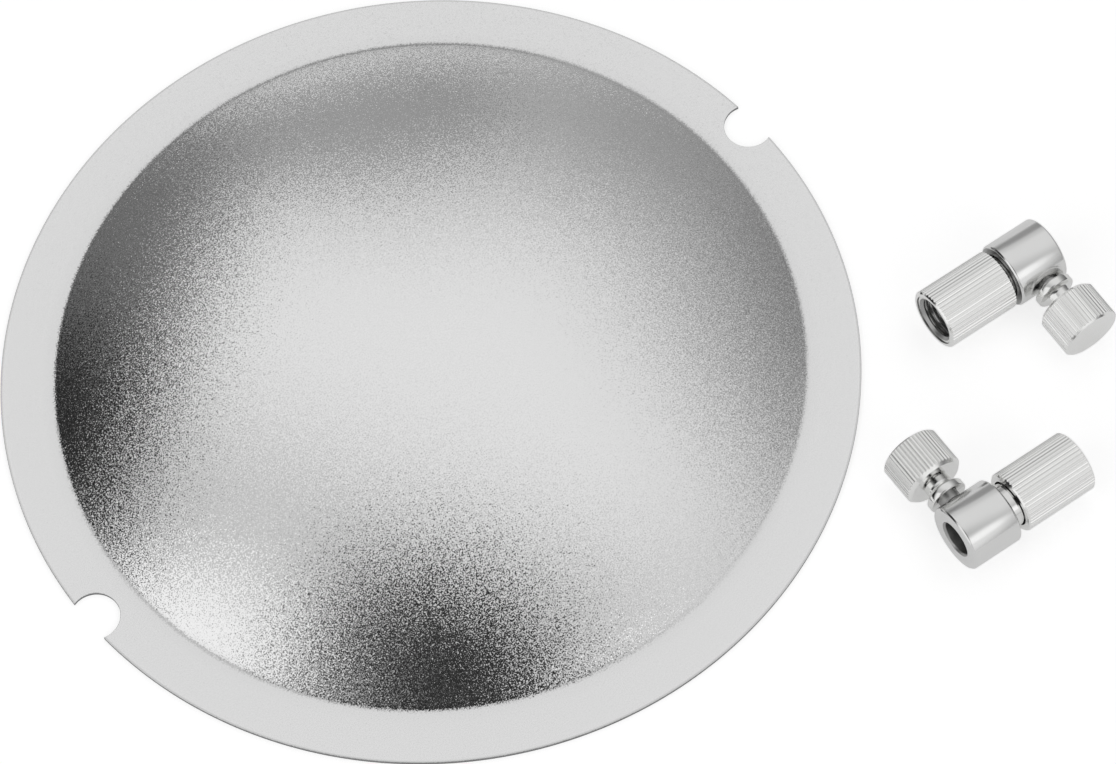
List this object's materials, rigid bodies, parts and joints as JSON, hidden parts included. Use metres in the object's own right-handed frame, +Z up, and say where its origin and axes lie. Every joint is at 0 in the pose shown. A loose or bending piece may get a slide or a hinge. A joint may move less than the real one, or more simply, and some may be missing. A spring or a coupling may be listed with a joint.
{
  "type": "light deflector with rod clamps",
  "caption": "Domed frosted disc with a flat notched rim that spreads a studio flash's light, with plated rod clamps whose fluted barrel grips the rim and whose thumb screw locks a rod.",
  "frame": {"origin": "bottom centre of the whole set's bounding box, on the surface that the disc's rim and the clamps lie on", "axes": "+Z up out of the dome, +X along the clamps' barrels and, within 6 degrees, along the disc's notched diameter"},
  "size_m": [0.1752, 0.1626, 0.017],
  "materials": {
    "frosted_aluminium": "fine frosted, dome and rim alike",
    "satin_nickel": "satin plated",
    "bright_nickel": "bright plated",
    "fluted_nickel": "bright plated over straight flutes"
  },
  "bodies": {
    "disc": {"deflector_disc": "frosted_aluminium"},
    "clamp_a": {"clamp_a_collar": "satin_nickel", "clamp_a_stud": "bright_nickel"},
    "clamp_a_barrel": {"clamp_a_barrel_liner": "bright_nickel"},
    "clamp_a_sleeve": {"clamp_a_barrel_sleeve": "fluted_nickel"},
    "clamp_a_screw": {"clamp_a_screw": "bright_nickel"},
    "clamp_a_knob": {"clamp_a_knob": "fluted_nickel"},
    "clamp_b": {"clamp_b_collar": "satin_nickel", "clamp_b_stud": "bright_nickel"},
    "clamp_b_barrel": {"clamp_b_barrel_liner": "bright_nickel"},
    "clamp_b_sleeve": {"clamp_b_barrel_sleeve": "fluted_nickel"},
    "clamp_b_screw": {"clamp_b_screw": "bright_nickel"},
    "clamp_b_knob": {"clamp_b_knob": "fluted_nickel"}
  },
  "joints": [
    {"name": "clamp_a_lift", "type": "slide", "parent": "disc", "child": "clamp_a", "axis": [0, 0, 1], "range_m": [0, 0.06]},
    {"name": "clamp_a_barrel_travel", "type": "slide", "parent": "clamp_a", "child": "clamp_a_barrel", "axis": [-1, 0, 0], "range_m": [-0.00075, 0.00435]},
    {"name": "clamp_a_barrel_turn", "type": "hinge", "parent": "clamp_a_barrel", "child": "clamp_a_sleeve", "pos_m": [0.06854, -0.03974, 0.006], "axis": [-1, 0, 0], "range_deg": [-271, 1567]},
    {"name": "clamp_a_screw_travel", "type": "slide", "parent": "clamp_a", "child": "clamp_a_screw", "axis": [0, -0.9996, -0.029], "range_m": [-0.0005, 0.0018]},
    {"name": "clamp_a_screw_turn", "type": "hinge", "parent": "clamp_a_screw", "child": "clamp_a_knob", "pos_m": [0.08214, -0.03974, 0.006], "axis": [0, -0.9996, -0.029], "range_deg": [-258, 927]},
    {"name": "clamp_b_lift", "type": "slide", "parent": "disc", "child": "clamp_b", "axis": [0, 0, 1], "range_m": [0, 0.06]},
    {"name": "clamp_b_barrel_travel", "type": "slide", "parent": "clamp_b", "child": "clamp_b_barrel", "axis": [1, 0, 0], "range_m": [-0.0019, 0.0032]},
    {"name": "clamp_b_barrel_turn", "type": "hinge", "parent": "clamp_b_barrel", "child": "clamp_b_sleeve", "pos_m": [0.05785, -0.07533, 0.006], "axis": [1, 0, 0], "range_deg": [-685, 1153]},
    {"name": "clamp_b_screw_travel", "type": "slide", "parent": "clamp_b", "child": "clamp_b_screw", "axis": [0, 0.9996, -0.0287], "range_m": [-0.0007, 0.0018]},
    {"name": "clamp_b_screw_turn", "type": "hinge", "parent": "clamp_b_screw", "child": "clamp_b_knob", "pos_m": [0.0431, -0.07533, 0.006], "axis": [0, 0.9996, -0.0287], "range_deg": [-361, 927]}
  ],
  "couplings": [
    {"joint": "clamp_a_barrel_turn", "follows": "clamp_a_barrel_travel", "rad_per_m": 6283.2},
    {"joint": "clamp_a_screw_turn", "follows": "clamp_a_screw_travel", "rad_per_m": 8976},
    {"joint": "clamp_b_barrel_turn", "follows": "clamp_b_barrel_travel", "rad_per_m": 6283.2},
    {"joint": "clamp_b_screw_turn", "follows": "clamp_b_screw_travel", "rad_per_m": 8976}
  ]
}
